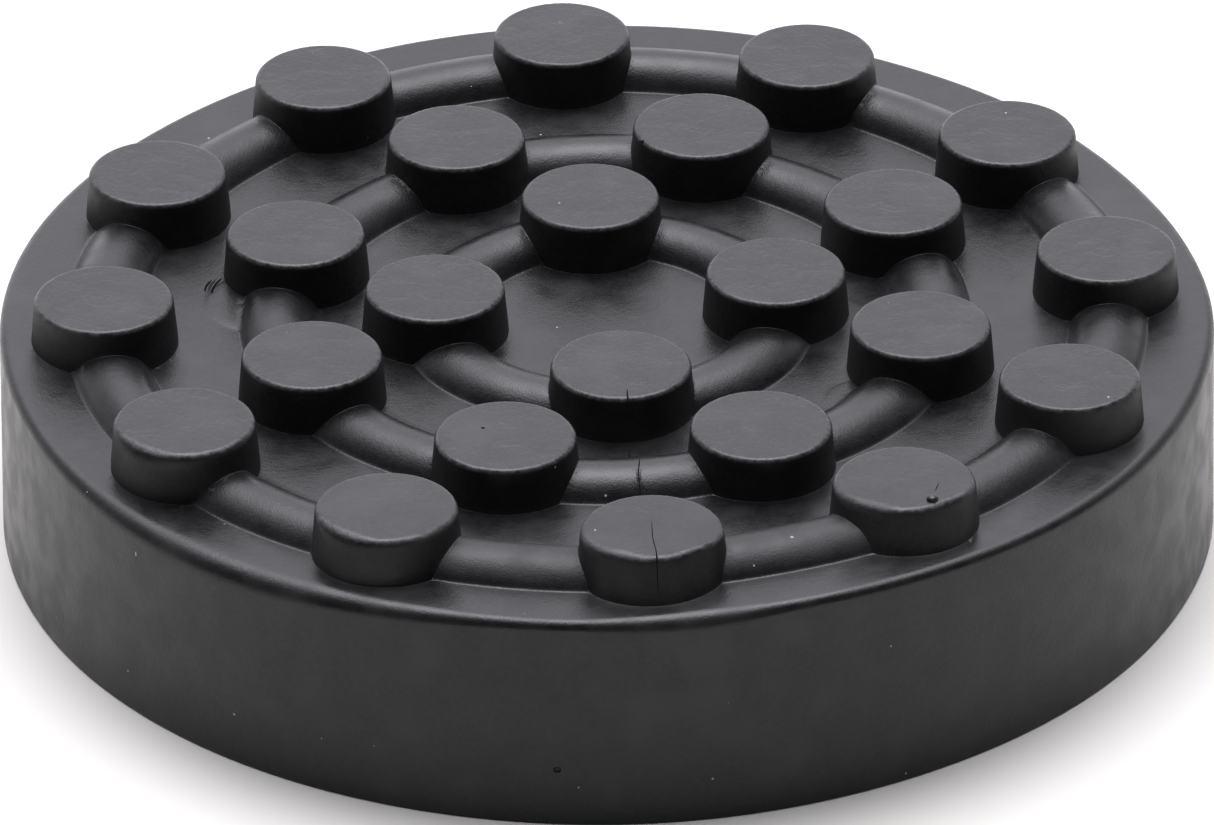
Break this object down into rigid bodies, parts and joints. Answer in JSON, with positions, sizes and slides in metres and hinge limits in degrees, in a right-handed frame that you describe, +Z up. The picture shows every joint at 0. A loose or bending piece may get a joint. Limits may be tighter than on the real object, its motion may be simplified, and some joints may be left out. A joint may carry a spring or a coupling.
{
  "type": "lift arm rubber pad",
  "caption": "Round rubber pad for a vehicle lift arm: a dished tread of short round studs joined by ring ridges, on a plain disc with a round pocket beneath.",
  "frame": {"origin": "centre of the round foot, on the surface that the pad stands on", "axes": "+Z up through the tread, along the pad's axis; -Y towards the first stud of the outer ring and the moulding split"},
  "size_m": [0.1204, 0.1204, 0.0266],
  "materials": {
    "rubber": "moulded black rubber with a soft satin sheen"
  },
  "bodies": {
    "root": {"lift_pad": "rubber"}
  },
  "joints": []
}
